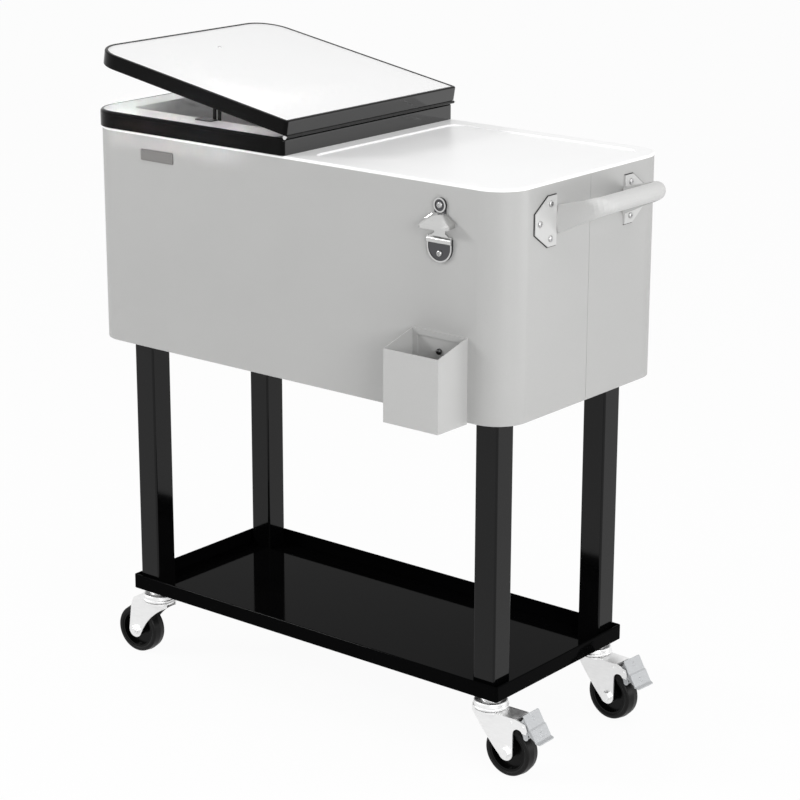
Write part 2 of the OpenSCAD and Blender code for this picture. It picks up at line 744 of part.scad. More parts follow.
module lid_liner() {
    edge = skirt_wall + 0.3;
    inset = skirt_flange + seat_gap;
    color("whitesmoke") placed() on_lid() translate([0, 0, lid_base]) difference() {
        union() {
            rounded_block(-lid_length + inset, -inset, lid_half_width - inset, lid_radius - inset,
                lid_corner, skirt_flange_thickness + plug_wall);
            translate([0, 0, skirt_flange_thickness]) rounded_block(-lid_length + edge, -edge,
                lid_half_width - edge, lid_radius - edge, 2, plug_wall);
            translate([0, 0, -plug_depth]) rounded_block(plug_left, plug_right, plug_half_width,
                cavity_radius, cavity_radius, plug_depth + skirt_flange_thickness + plug_wall);
        }
        translate([0, 0, plug_wall - plug_depth]) rounded_block(plug_left + plug_wall,
            plug_right - plug_wall, plug_half_width - plug_wall, cavity_radius - plug_wall,
            cavity_radius - plug_wall, 2 * plug_depth + plug_wall);
    }
}

module lid_gasket() {
    outer_left = -lid_length + gasket_inset;
    hinge_side = -leaf_width - 1.5;
    side = lid_half_width - gasket_inset - 1;
    round = gasket_width / 3;
    color("#303030") placed() on_lid() translate([0, 0, lid_base - gasket_height]) difference() {
        rounded_plate(outer_left, hinge_side, side, lid_radius - gasket_inset, gasket_width,
            gasket_height, 0, round);
        translate([0, 0, -1]) rounded_block(outer_left + gasket_width, hinge_side - gasket_width,
            side - gasket_width, lid_radius - gasket_inset - gasket_width, 3, gasket_height + 2);
    }
}

module lid_screws() {
    foot_spread = 13;
    foot_y = stay_y + stay_thickness - 13;
    top_x = 320;
    color("silver") placed() on_lid() {
        for (s = [-1, 1]) translate([-stay_radius - stay_offset + s * foot_spread, foot_y, lid_base - 2.2])
            rotate([180, 0, 0]) pan_screw(3, 1.5, 3, 1);
        translate([-top_x, 0, lid_base + lid_thickness - lid_lip_thickness]) pan_screw(5, 1.5, 3.2, 1.1);
    }
}

// Centre line of the handle in its own plane: out from the flange, round a bend and along the grip
handle_half = handle_span / 2;
handle_lead = handle_out - handle_bend;
handle_side = handle_half - flat_end / 2;
handle_grip = handle_side - handle_bend;
flat_until = 0.36;
round_within = 0.16;

// s runs from 0 at one flange to 1 at the middle of the grip; gives [out, along, turn]
function handle_point(s) = let (
        arc = handle_bend * 1.5708,
        total = handle_lead + arc + handle_grip,
        d = s * total)
    d < handle_lead ? [d, -handle_side, 0]
    : d < handle_lead + arc ? let (a = (d - handle_lead) / arc * 90)
        [handle_lead + handle_bend * sin(a), -handle_side + handle_bend * (1 - cos(a)), a]
    : [handle_out, -handle_grip + d - handle_lead - arc, 90];

// Half thickness and half height of the tube, flattened towards the flange
function handle_section(s) = let (
        t = max(0, min(1, (s - flat_until) / round_within)),
        k = t * t * (3 - 2 * t),
        taper = min(1, s / (flat_until + round_within)))
    [flat_end / 2 + (handle_tube_d - flat_end) / 2 * k,
     flat_end_height / 2 + (handle_tube_d - flat_end_height) / 2 * taper];

// One ring of the tube; side is -1 for the front half and 1 for the rear half
function handle_ring(s, side, n) = let (p = handle_point(s), h = handle_section(s))
    [for (i = [0:n - 1]) let (
        a = 360 * i / n,
        across = h[0] * cos(a),
        up = h[1] * sin(a),
        out = p[0] + across * sin(p[2]),
        along = p[1] - across * cos(p[2]),
        lift = out * sin(handle_tilt) + up * cos(handle_tilt * sin(p[2])))
        [out * cos(handle_tilt) - up * sin(handle_tilt) * sin(p[2]), -side * along, lift]];

module handle_tube() {
    steps = 30;
    sides = 24;
    stations = concat([for (i = [0:steps]) i / steps], [for (i = [1:steps]) 1 - i / steps]);
    count = len(stations);
    rings = [for (j = [0:count - 1]) handle_ring(stations[j], j <= steps ? -1 : 1, sides)];
    points = [for (ring = rings) for (p = ring) p];
    walls = [for (j = [0:count - 2]) for (i = [0:sides - 1]) let (k = (i + 1) % sides)
        [j * sides + i, j * sides + k, (j + 1) * sides + k, (j + 1) * sides + i]];
    ends = [[for (i = [sides - 1:-1:0]) i], [for (i = [0:sides - 1]) (count - 1) * sides + i]];
    color("gainsboro") placed() translate([half_length + flange_thickness, 0, handle_z])
        polyhedron(points = points, faces = concat(walls, ends), convexity = 6);
}

module handle_flanges() {
    straight = flange_height / 2;
    tip = 14.5;
    shoulder = flange_length - 30;
    color("gainsboro") placed() for (s = [-1, 1]) on_end(s * handle_half, handle_z) difference() {
        linear_extrude(height = flange_thickness) polygon([[0, -straight], [s * shoulder, -straight],
            [s * flange_length, -tip], [s * flange_length, tip], [s * shoulder, straight],
            [0, straight]]);
        for (k = [-1, 1]) translate([s * screw_near, k * screw_spread, -1])
            cylinder(r = screw_radius + screw_hole, h = flange_thickness + 2);
        translate([s * screw_far, 0, -1])
            cylinder(r = screw_radius + screw_hole, h = flange_thickness + 2);
    }
}

module handle_screws() {
    color("silver") placed() for (s = [-1, 1]) {
        for (k = [-1, 1]) on_end(s * (handle_half + screw_near), handle_z + k * screw_spread)
            translate([0, 0, flange_thickness]) pan_screw(screw_length);
        on_end(s * (handle_half + screw_far), handle_z) translate([0, 0, flange_thickness])
            pan_screw(screw_length);
    }
}

// Half outline of the opener's hood at height share t (0 at the neck, 1 at the lip), wall to wall;
// a runs from 0 to 180 degrees and inset is the depth below the outer skin
function hood_point(t, a, inset) = let (
        half = opener_tab - 1 + (opener_hood / 2 - opener_tab + 1) * pow(t, 1.25) - inset,
        reach = opener_metal + 2 + (opener_reach - opener_metal - 2) * pow(t, 0.92) - inset * 1.4,
        square_off = 0.62,
        side = cos(a) < 0 ? 1 : -1,
        x = side * pow(abs(cos(a)), square_off) * half,
        out = pow(sin(a), square_off) * reach,
        drop = (1 - t) * hood_neck + t * (hood_lip - hood_rise * out / opener_reach))
    [x, drop - inset * 0.9, out];

// Skin of the hood as one closed loft: each section runs down the outside, under the lip and back up
module opener_hood_loft() {
    across = 28;
    down = 7;
    last = across - 1;
    section = 2 * (down + 1) + 1;
    // the lip is thick at its ends and thin in the middle
    points = [for (j = [0:last]) let (a = 2 + 176 * j / last) each concat(
        [for (i = [0:down]) hood_point(i / down, a, 0)],
        [hood_point(1, a, 0) - [0, 2.2 + 3.4 * pow(abs(cos(a)), 1.6), 0.6]],
        [for (i = [down:-1:0]) hood_point(i / down, a, opener_metal)])];
    walls = [for (j = [0:last - 1]) for (i = [0:section - 1]) let (k = (i + 1) % section)
        [j * section + i, (j + 1) * section + i, (j + 1) * section + k, j * section + k]];
    ends = [[for (i = [0:section - 1]) i], [for (i = [section - 1:-1:0]) last * section + i]];
    polyhedron(points = points, faces = concat(walls, ends), convexity = 6);
}

// Cast wall opener: screw tab, flared hood with a lip and a rounded lower plate with a raised rim
module bottle_opener() {
    low_z = deck_z - opener_drop;
    plate_r = opener_plate / 2;
    tab_z = opener_height - opener_tab;
    plate_top = 37;
    rim = 2.2;
    roll = 6;
    color("silver") placed() on_front(opener_x, low_z) {
        difference() {
            union() {
                linear_extrude(height = opener_metal) {
                    translate([0, plate_r]) circle(r = plate_r);
                    translate([-plate_r, plate_r]) square([opener_plate, plate_top - plate_r]);
                    translate([-opener_tab + 1, plate_top]) square([2 * opener_tab - 2, tab_z - plate_top]);
                    translate([0, tab_z]) circle(r = opener_tab);
                }
                linear_extrude(height = opener_metal + 1) {
                    difference() {
                        translate([0, plate_r]) circle(r = plate_r);
                        translate([0, plate_r]) circle(r = plate_r - rim);
                        translate([-plate_r, plate_r]) square(opener_plate);
                    }
                    for (s = [-1, 1]) translate([s * (plate_r - rim / 2), (plate_r + plate_top) / 2])
                        square([rim, plate_top - plate_r], center = true);
                    difference() {
                        translate([0, tab_z]) circle(r = opener_tab);
                        translate([0, tab_z]) circle(r = opener_tab - rim);
                    }
                }
                // rolled upper edge that the bottle cap bears on
                intersection() {
                    translate([0, plate_top - roll, 0]) rotate([0, 90, 0])
                        cylinder(r = roll, h = opener_plate, center = true);
                    translate([-plate_r, 0, 0]) cube([opener_plate, opener_height, opener_reach]);
                }
                opener_hood_loft();
            }
            for (z = opener_holes) translate([0, z, -1])
                cylinder(r = screw_radius + screw_hole, h = opener_metal + 3);
        }
        // tooth that lifts the cap's edge
        translate([-9, hood_lip - 8, 0]) cube([18, 6, opener_metal + 6]);
    }
}

module opener_screws() {
    low_z = deck_z - opener_drop;
    color("silver") placed() for (z = opener_holes) on_front(opener_x, low_z + z)
        translate([0, 0, opener_metal]) pan_screw(screw_length);
}

module cap_catcher() {
    t = catcher_sheet;
    w = catcher_width;
    d = catcher_depth;
    color("gainsboro") placed() on_front(opener_x, shell_z + catcher_lift) translate([-w / 2, 0, 0]) {
        // floor, front, back and two sloping sides
        cube([w, t, d]);
        translate([0, 0, d - t]) cube([w, catcher_front, t]);
        difference() {
            cube([w, catcher_back, t]);
            translate([w / 2, catcher_back - catcher_hole, -1])
                cylinder(r = screw_radius + screw_hole, h = t + 2);
        }
        for (x = [0, w - t]) translate([x, 0, 0]) rotate([0, 90, 0]) mirror([1, 0, 0])
            linear_extrude(height = t) polygon([[0, 0], [d, 0], [d, catcher_front], [0, catcher_back]]);
        // folded edges that frame the back
        for (x = [t, w - t - catcher_fold]) translate([x, t, 0]) cube([catcher_fold, catcher_back - t, 3]);
        translate([t, catcher_back - catcher_fold, 0]) cube([w - 2 * t, catcher_fold, 3]);
    }
}

module catcher_screws() {
    knob = 5;
    color("dimgray") placed() on_front(opener_x, shell_z + catcher_lift + catcher_back - catcher_hole)
        translate([0, 0, catcher_sheet]) pan_screw(screw_length, screw_radius, screw_head_radius, knob);
}

module leg(sx, sy) {
    inner = leg_side - 2 * leg_wall;
    color("#161616") placed() translate([sx * leg_x, sy * leg_y, leg_z])
        linear_extrude(height = leg_length) difference() {
            rounded_outline(-leg_side / 2, leg_side / 2, leg_side / 2, leg_edge, leg_edge);
            square(inner, center = true);
        }
}

module leg_front_left() { leg(-1, -1); }

module leg_front_right() { leg(1, -1); }

module leg_rear_left() { leg(-1, 1); }

module leg_rear_right() { leg(1, 1); }

// A plug inside the head of each leg, with a bolt up through the bottom pan
module leg_sockets() {
    plug = leg_side - 2 * leg_wall - seat_gap;
    plug_height = 28;
    color("dimgray") placed() for (sx = [-1, 1]) for (sy = [-1, 1])
        translate([sx * leg_x, sy * leg_y, shell_z + shell_sheet - plug_height]) {
            translate([-plug / 2, -plug / 2, 0]) cube([plug, plug, plug_height]);
            cylinder(r = leg_bolt_radius, h = plug_height + bottom_sheet);
        }
}

// A plug inside the foot of each leg, bored for the caster's stem
module leg_inserts() {
    plug = leg_side - 2 * leg_wall - seat_gap;
    color("dimgray") placed() for (sx = [-1, 1]) for (sy = [-1, 1])
        translate([sx * leg_x, sy * leg_y, leg_z]) difference() {
            translate([-plug / 2, -plug / 2, 0]) cube([plug, plug, stem_length]);
            translate([0, 0, -1]) cylinder(r = stem_radius + caster_clearance, h = stem_length + 2);
        }
}

module tray() {
    h = tray_rim;
    t = tray_sheet;
    hem_height = 8;
    seat = leg_side + seat_gap;
    color("#161616") placed() translate([0, 0, caster_height]) difference() {
        union() {
            rounded_ring(tray_length, tray_width, tray_radius) polygon(concat([[-tray_radius, 0]],
                arc_points(-t, t, t, -90, 0, 4), arc_points(-t, h - t, t, 0, 90, 4),
                [[-tray_hem, h], [-tray_hem, h - hem_height], [-t, h - hem_height - 1], [-t, t],
                 [-tray_radius, t]]));
            translate([tray_radius - tray_length / 2, tray_radius - tray_width / 2, 0])
                cube([tray_length - 2 * tray_radius, tray_width - 2 * tray_radius, t]);
        }
        for (sx = [-1, 1]) for (sy = [-1, 1]) translate([sx * leg_x, sy * leg_y, 0]) {
            translate([0, 0, -1]) cylinder(r = stem_radius + caster_clearance, h = t + 2);
            translate([0, 0, t - leg_seat]) linear_extrude(height = t)
                rounded_outline(-seat / 2, seat / 2, seat / 2, leg_edge, leg_edge);
        }
    }
}

module drain_spout() {
    low = shell_z - drain_reach;
    top = cavity_z - 0.3;
    color("whitesmoke") placed() translate([-drain_x, 0, 0]) difference() {
        union() {
            translate([0, 0, low]) cylinder(r = drain_radius, h = top - low);
            translate([0, 0, top - drain_flange]) cylinder(r = drain_flange_radius, h = drain_flange);
        }
        translate([0, 0, low - 1]) cylinder(r = drain_bore, h = top - low + 2);
    }
}

module drain_seal() {
    color("#303030") placed() translate([-drain_x, 0, shell_z + shell_sheet - drain_seal_height])
        difference() {
        cylinder(r = drain_radius + 5, h = drain_seal_height);
        translate([0, 0, -1]) cylinder(r = drain_radius + seat_gap / 2, h = drain_seal_height + 2);
    }
}

module drain_cap() {
    wall = 3;
    ribs = 18;
    inner = drain_radius + drain_clearance;
    cap_height = drain_reach - 5;
    low = shell_z - drain_reach - wall - 0.3;
    color("#1b1b1b") placed() translate([-drain_x, 0, low]) difference() {
        union() {
            cylinder(r = inner + wall, h = cap_height);
            for (i = [0:ribs - 1]) rotate(i * 360 / ribs) translate([inner + wall - 0.5, -1, 0])
                cube([1.5, 2, cap_height]);
        }
        translate([0, 0, wall]) cylinder(r = inner, h = cap_height);
    }
}

// A caster's own frame, with the swivel axis at its origin and the wheel trailing along X
module at_caster(sx, sy, swivel) {
    placed() translate([sx * leg_x, sy * leg_y, 0]) rotate(swivel) children();
}

// Stem, raceway cover and kingpin, fixed to the cart
module caster_mount(sx, sy) {
    neck_radius = 16;
    lip = 2.5;
    head_z = crown_z - crown_thickness - 2.5 - fork_play;
    color("silver") at_caster(sx, sy, 0) {
        rotate_extrude() polygon(concat([[0, raceway_z], [raceway_radius - 3, raceway_z]],
            arc_points(raceway_radius - lip, raceway_z + lip + 1, lip, -60, 60, 6),
            arc_points(raceway_radius - 5, raceway_top_z - 3.5, 3.5, 20, 90, 4),
            [[neck_radius, raceway_top_z], [neck_radius, caster_height], [stem_radius, caster_height],
             [stem_radius, leg_z + stem_length], [0, leg_z + stem_length]]));
        translate([0, 0, head_z - 1]) cylinder(r = kingpin_radius, h = raceway_z - head_z + 2);
        translate([0, 0, head_z - 3]) cylinder(r = kingpin_head, h = 3);
    }
}

// Outline of a fork's side plate: crown above, ear round the axle below
module fork_side(braked) {
    front = -crown_radius;
    top = crown_z;
    ear_back = caster_trail + ear_radius;
    bow = braked ? [caster_trail - 33, axle_z + 12] : [caster_trail - 27, axle_z + 33];
    front_edge = bezier([front, top - 7], bow,
        [caster_trail - ear_radius * 0.9, axle_z - ear_radius * 0.45], 8);
    arch = ear_radius * 0.72;
    pin_z = top - brake_pin_drop;
    back_edge = braked
        ? concat([[ear_back, axle_z + 24]], arc_points(ear_back + arch, axle_z + 33, arch, 180, 30, 8),
            [[caster_trail + brake_pin_u + 6, pin_z - 10], [caster_trail + brake_pin_u + 8, pin_z - 4],
             [caster_trail + brake_pin_u + 5, pin_z + 5], [caster_trail + 16, top]])
        : [[caster_trail + ear_radius * 0.6, top - 14], [caster_trail + 2, top]];
    polygon(concat([[front, top]], front_edge, [[caster_trail, axle_z], [ear_back, axle_z]], back_edge));
    translate([caster_trail, axle_z]) circle(r = ear_radius);
}

// Swivelling fork: crown, two side plates bored for the axle, and the pedal's pin on a braked one
module caster_fork(sx, sy, swivel, braked) {
    crown_back = braked ? caster_trail + 16 : caster_trail + 2;
    pin_z = crown_z - brake_pin_drop;
    pan = 2.5;
    crease = caster_trail - ear_radius - 0.5;
    turn_in = 5;
    far = 3 * caster_trail;
    front = [crease - far * cos(turn_in), fork_outer - far * sin(turn_in)];
    narrow = fork_outer - crease * tan(turn_in);
    color("gainsboro") at_caster(sx, sy, swivel) difference() {
        union() {
            translate([0, 0, crown_z - crown_thickness]) {
                cylinder(r = crown_radius, h = crown_thickness);
                linear_extrude(height = crown_thickness) polygon([
                    [0, narrow], [crease, fork_outer], [crown_back, fork_outer],
                    [crown_back, -fork_outer], [crease, -fork_outer], [0, -narrow]]);
            }
            translate([0, 0, crown_z - crown_thickness - pan]) cylinder(r = kingpin_head + 4, h = pan + 1);
            // the two bent sheets seen from above, cut to the outline of a side plate
            intersection() {
                rotate([90, 0, 0]) linear_extrude(height = 3 * fork_outer, center = true) fork_side(braked);
                linear_extrude(height = crown_z) for (s = [-1, 1]) polygon([
                    [far, s * fork_outer], [crease, s * fork_outer], [front[0], s * front[1]],
                    [front[0] + fork_sheet * sin(turn_in), s * (front[1] - fork_sheet * cos(turn_in))],
                    [crease + fork_sheet * tan(turn_in / 2), s * fork_inner], [far, s * fork_inner]]);
            }
            if (braked) {
                translate([caster_trail + brake_pin_u, fork_outer + 1, pin_z]) rotate([90, 0, 0])
                    cylinder(r = brake_pin_radius, h = 2 * fork_outer + 2);
                for (s = [-1, 1]) translate([caster_trail + rivet_u, s * fork_outer, pin_z + 2])
                    rotate([90, 0, 0]) cylinder(r = 2.2, h = 1.6, center = true);
            }
        }
        translate([0, 0, crown_z - 20]) cylinder(r = kingpin_radius + caster_clearance, h = 30);
        translate([caster_trail, fork_outer + 1, axle_z]) rotate([90, 0, 0])
            cylinder(r = axle_radius + 0.02, h = 2 * fork_outer + 2);
    }
}

// Ring round the wheel's axis, carried from a profile of radius and width
module wheel_ring(sx, sy, swivel) {
    at_caster(sx, sy, swivel) translate([caster_trail, 0, axle_z]) rotate([90, 0, 0])
        rotate_extrude() children();
}

module caster_tyre(sx, sy, swivel) {
    r = wheel_d / 2;
    half = wheel_width / 2;
    low = r - tyre_thickness;
    crown = 1.2;
    shoulder = 4;
    color("#121212") wheel_ring(sx, sy, swivel) polygon(concat([[low, -half + 1], [low + 2, -half]],
        arc_points(r - crown - shoulder, -half + shoulder, shoulder, -90, -20, 5), [[r, 0]],
        arc_points(r - crown - shoulder, half - shoulder, shoulder, 20, 90, 5),
        [[low + 2, half], [low, half - 1]]));
}

module caster_hub(sx, sy, swivel) {
    r = wheel_d / 2 - tyre_thickness;
    half = wheel_width / 2;
    boss = 10;
    bore = axle_radius + caster_clearance;
    web = 4;
    rim = 4;
    color("#1d1d1d") wheel_ring(sx, sy, swivel) polygon([[bore, -half], [boss, -half],
        [boss + 1.5, -web], [r - rim, -web], [r - rim + 1, -half + 1.5], [r, -half + 1.5],
        [r, half - 1.5], [r - rim + 1, half - 1.5], [r - rim, web], [boss + 1.5, web], [boss, half],
        [bore, half]]);
}

// Axle bolt with a hexagonal head and a nut
module caster_axle(sx, sy, swivel) {
    head = 4;
    hex_radius = 7.4;
    tail = 2;
    color("silver") at_caster(sx, sy, swivel) translate([caster_trail, 0, axle_z]) rotate([90, 0, 0]) {
        cylinder(r = axle_radius, h = 2 * fork_outer + 2, center = true);
        for (s = [-1, 1]) translate([0, 0, s * (fork_outer + head / 2)])
            cylinder(r = hex_radius, h = head, center = true, $fn = 6);
        translate([0, 0, -fork_outer - head - tail]) cylinder(r = axle_radius - 0.3, h = tail + 1);
    }
}

// Rocker pedal: a creased plate with a curled end and two dimples, cheeks on the pin, a bar for the tread
module brake_pedal(sx, sy, swivel) {
    pin_z = crown_z - brake_pin_drop;
    cheek = fork_inner - 0.4;
    half = fork_outer + 2.2;
    bar_reach = wheel_d / 2 + brake_bar_gap + brake_bar_radius;
    bar = [bar_reach * cos(brake_bar_angle) - brake_pin_u,
           axle_z + bar_reach * sin(brake_bar_angle) - pin_z];
    // ends of the plate and its crease, measured from the pin
    upper = [2.5, 20];
    crease = [13, 1.5];
    lower = [26.5, -21];
    end_radius = 7;
    corner = 3;
    curl = 4;
    dimple = 3.6;
    slope = atan2(lower[1] - upper[1], lower[0] - upper[0]);
    n = [-sin(slope), cos(slope)];
    d = [cos(slope), sin(slope)];
    plate_length = norm(lower - upper);
    color("lightgray") at_caster(sx, sy, swivel) translate([caster_trail + brake_pin_u, 0, pin_z]) {
        // the plate's own frame: x down the plate from its upper edge, z out of its face
        translate([upper[0], 0, upper[1]]) rotate([0, -slope, 0]) {
            intersection() {
                rotate([90, 0, 0]) linear_extrude(height = 2 * half, center = true)
                    polygon([[0, 0], [plate_length * 0.46, 0], [plate_length * 0.52, 1.6],
                        [plate_length - curl, 1.6], [plate_length, 1.6 + curl],
                        [plate_length + pedal_sheet, 1.6 + curl], [plate_length + pedal_sheet, 1.6 + curl - 0.6],
                        [plate_length - curl + 1, 1.6 - pedal_sheet], [plate_length * 0.54, 1.6 - pedal_sheet],
                        [plate_length * 0.48, -pedal_sheet], [0, -pedal_sheet]]);
                translate([0, 0, -5]) rounded_block(-0.5, plate_length + 3, half, corner, end_radius, 20);
            }
            translate([plate_length * 0.2, 0, -0.5]) cylinder(r1 = dimple, r2 = dimple - 1.4, h = 1.6);
            translate([plate_length * 0.75, 0, 1.1]) rotate(45)
                cylinder(r1 = dimple * 1.5, r2 = dimple * 1.1, h = 1.2, $fn = 4);
        }
        rotate([90, 0, 0]) {
            for (s = [-1, 1]) translate([0, 0, s > 0 ? cheek - pedal_sheet : -cheek]) difference() {
                linear_extrude(height = pedal_sheet) polygon(concat(
                    [lower - 2 * d + 0.9 * n, lower - 3 * d - 2.5 * n],
                    arc_points(-2, 3, 5, 250, 160, 6),
                    [upper + 3 * d - 2.5 * n, upper + 3 * d - 0.5 * n, upper + plate_length * 0.47 * d - 0.5 * n,
                     upper + plate_length * 0.53 * d + 0.9 * n]));
                translate([0, 0, -1]) cylinder(r = brake_pin_radius + caster_clearance, h = pedal_sheet + 2);
            }
            for (s = [-1, 1]) translate([0, 0, s > 0 ? cheek - pedal_sheet : -cheek])
                linear_extrude(height = pedal_sheet) polygon(concat(
                    arc_points(bar[0], bar[1], brake_bar_radius + 1, 180, 320, 8),
                    [[8, -7], [2, -4.5], [-3.5, -6]]));
            translate([bar[0], bar[1], 0]) cylinder(r = brake_bar_radius, h = 2 * cheek - 1, center = true);
        }
    }
}

module mount_front_left() { caster_mount(-1, -1); }

module mount_front_right() { caster_mount(1, -1); }

module mount_rear_left() { caster_mount(-1, 1); }

module mount_rear_right() { caster_mount(1, 1); }

module fork_front_left() { caster_fork(-1, -1, swivel_front_left, false); }

module fork_front_right() { caster_fork(1, -1, swivel_front_right, true); }

module fork_rear_left() { caster_fork(-1, 1, swivel_rear_left, false); }

module fork_rear_right() { caster_fork(1, 1, swivel_rear_right, true); }

module tyre_front_left() { caster_tyre(-1, -1, swivel_front_left); }

module tyre_front_right() { caster_tyre(1, -1, swivel_front_right); }

module tyre_rear_left() { caster_tyre(-1, 1, swivel_rear_left); }

module tyre_rear_right() { caster_tyre(1, 1, swivel_rear_right); }

module hub_front_left() { caster_hub(-1, -1, swivel_front_left); }

module hub_front_right() { caster_hub(1, -1, swivel_front_right); }

module hub_rear_left() { caster_hub(-1, 1, swivel_rear_left); }

module hub_rear_right() { caster_hub(1, 1, swivel_rear_right); }

module axle_front_left() { caster_axle(-1, -1, swivel_front_left); }

module axle_front_right() { caster_axle(1, -1, swivel_front_right); }

module axle_rear_left() { caster_axle(-1, 1, swivel_rear_left); }

module axle_rear_right() { caster_axle(1, 1, swivel_rear_right); }

module brake_front_right() { brake_pedal(1, -1, swivel_front_right); }

module brake_rear_right() { brake_pedal(1, 1, swivel_rear_right); }

outer_shell();
shell_bottom();
foam_insulation();
inner_liner();
opening_collar();
top_deck();
lid_frame();
frame_hinge_leaf();
hinge_rod();
stay_keeper();
lid_skirt();
lid_panel();
lid_foam();
lid_liner();
lid_gasket();
lid_hinge_leaf();
lid_stay();
lid_screws();
handle_tube();
handle_flanges();
handle_screws();
bottle_opener();
opener_screws();
cap_catcher();
catcher_screws();
leg_front_left();
leg_front_right();
leg_rear_left();
leg_rear_right();
leg_sockets();
leg_inserts();
tray();
drain_spout();
drain_seal();
drain_cap();
mount_front_left();
mount_front_right();
mount_rear_left();
mount_rear_right();
fork_front_left();
fork_front_right();
fork_rear_left();
fork_rear_right();
tyre_front_left();
tyre_front_right();
tyre_rear_left();
tyre_rear_right();
hub_front_left();
hub_front_right();
hub_rear_left();
hub_rear_right();
axle_front_left();
axle_front_right();
axle_rear_left();
axle_rear_right();
brake_front_right();
brake_rear_right();
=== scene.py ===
"""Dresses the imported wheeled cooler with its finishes, its small trim and a studio stage."""
import math

import bpy
import numpy as np
from mathutils import Matrix, Vector


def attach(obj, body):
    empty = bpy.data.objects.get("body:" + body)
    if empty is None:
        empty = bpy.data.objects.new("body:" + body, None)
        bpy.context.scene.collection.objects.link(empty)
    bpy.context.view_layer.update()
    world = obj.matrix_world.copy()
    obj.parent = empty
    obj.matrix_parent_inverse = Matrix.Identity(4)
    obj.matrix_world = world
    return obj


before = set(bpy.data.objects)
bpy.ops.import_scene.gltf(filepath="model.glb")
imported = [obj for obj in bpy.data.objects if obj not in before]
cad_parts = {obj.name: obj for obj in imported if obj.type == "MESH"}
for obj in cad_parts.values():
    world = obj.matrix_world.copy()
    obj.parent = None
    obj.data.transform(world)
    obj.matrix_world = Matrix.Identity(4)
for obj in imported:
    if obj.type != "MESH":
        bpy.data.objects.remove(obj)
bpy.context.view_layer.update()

bl_info = {
    "name": "Wheeled cooler dressing",
    "version": (1, 0, 0),
    "blender": (4, 5, 0),
    "location": "View3D > Sidebar > Cooler",
    "description": "Finishes, trim and a studio stage for a wheeled patio cooler",
    "category": "Object",
}

# The middle of the insulated box lies this far from the part's origin, in metres
BOX_MIDDLE = (-0.0325, 0.03175)
# From the middle of the box to its end and to its front, in millimetres
HALF_LENGTH = 400.0
HALF_WIDTH = 196.0
# The middle of the handle's flanges above the floor, and their inner edges from the middle of the box,
# in millimetres
FLANGE_HEIGHT = 825.4
FLANGE_INNER_EDGE = 84.0
# The angle at which the lid stands ajar
LID_AJAR = math.radians(9.8)


def at(x, y, z):
    """A place given in millimetres from the middle of the box, as metres in the part's frame."""
    return np.array([x / 1000.0 + BOX_MIDDLE[0], y / 1000.0 + BOX_MIDDLE[1], z / 1000.0])


BADGE_CENTRE = at(-255.0, -HALF_WIDTH, 848.5)
CAMERA_PLACE = at(2304.34, -2781.36, 1552.53)
# A place on the flat hinge side of the lid frame, and one on that of the lid skirt; the painted reflection
# on these sides starts from them
FRAME_PAINTED_SHEEN_SIDE = at(1.0, 0.0, 900.0)
SKIRT_PAINTED_SHEEN_SIDE = at(5.0, 0.0, 908.45)

# Meshes


def ring_faces(rows, columns):
    """Quads between neighbouring points of a grid that is stored row by row, and whose rows are rings."""
    r, c = (a.ravel() for a in np.meshgrid(np.arange(rows - 1), np.arange(columns), indexing="ij"))
    start, following = r * columns, (c + 1) % columns
    near, far = [start + c, start + following], [start + columns + following, start + columns + c]
    return np.stack(near + far, axis=1).tolist()


def edge_strip(path, near, far, low, high):
    """A strip of rectangular section beside an open path in the plane.

    Each point of the path is moved outwards along the mitre of its two edges, by the near and by the far
    distance, and both lines are given the low and the high level; the ends are closed."""
    along = np.diff(path, axis=0)
    along /= np.linalg.norm(along, axis=1)[:, None]
    out = np.stack([along[:, 1], -along[:, 0]], axis=1)
    before, after = np.vstack([out[:1], out]), np.vstack([out, out[-1:]])
    mitre = (before + after) / (1 + np.sum(before * after, axis=1))[:, None]
    corners = [(near, low), (far, low), (far, high), (near, high)]
    lines = [np.column_stack([path + mitre * d, np.full(len(path), z)]) for d, z in corners]
    last = 4 * (len(path) - 1)
    ends = [[3, 2, 1, 0], [last, last + 1, last + 2, last + 3]]
    return np.stack(lines, axis=1).reshape(-1, 3), ring_faces(len(path), 4) + ends


def rounded_rings(width, height, radius, offsets, heights, arc=7):
    """Rings of a rounded rectangle, each moved inwards by an offset and lifted to a height.

    Each corner is an arc of the radius less the offset, in as many points as arc says, about a centre that
    stays put until the radius is used up, and then moves inwards with the offset."""
    offsets, heights = np.asarray(offsets, dtype=float), np.asarray(heights, dtype=float)
    left = np.maximum(radius - offsets, 1e-5)
    moved = np.maximum(offsets - radius, 0.0)
    quarter = np.arange(4).repeat(arc)
    angle = (quarter + np.tile(np.linspace(0, 1, arc), 4)) * np.pi / 2
    sign_x, sign_y = np.array([1, -1, -1, 1])[quarter], np.array([1, 1, -1, -1])[quarter]
    across = sign_x * (width / 2 - radius - moved[:, None]) + left[:, None] * np.cos(angle)
    up = sign_y * (height / 2 - radius - moved[:, None]) + left[:, None] * np.sin(angle)
    return across, up, np.broadcast_to(heights[:, None], across.shape)


def mesh_piece(name, points, faces, body, finish):
    """A flat-faced piece from an array of points and a list of faces, riding on a body of the part."""
    mesh = bpy.data.meshes.new(name)
    mesh.from_pydata(np.asarray(points, dtype=float).tolist(), [], faces)
    mesh.validate()
    mesh.update()
    piece = bpy.data.objects.new(name, mesh)
    bpy.context.scene.collection.objects.link(piece)
    piece.data.materials.append(MATERIALS[finish])
    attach(piece, body)


# Shader nodes

GROUPS = {}
MATERIALS = {}
# Most of a noise pattern lies between these two of its heights
NOISE_LOW, NOISE_HIGH = 0.3, 0.7
# Depths of the bumps that a powder coat's grain and a metal's streaks make at full strength, in metres
GRAIN_DEPTH, STREAK_DEPTH = 0.0004, 0.0002


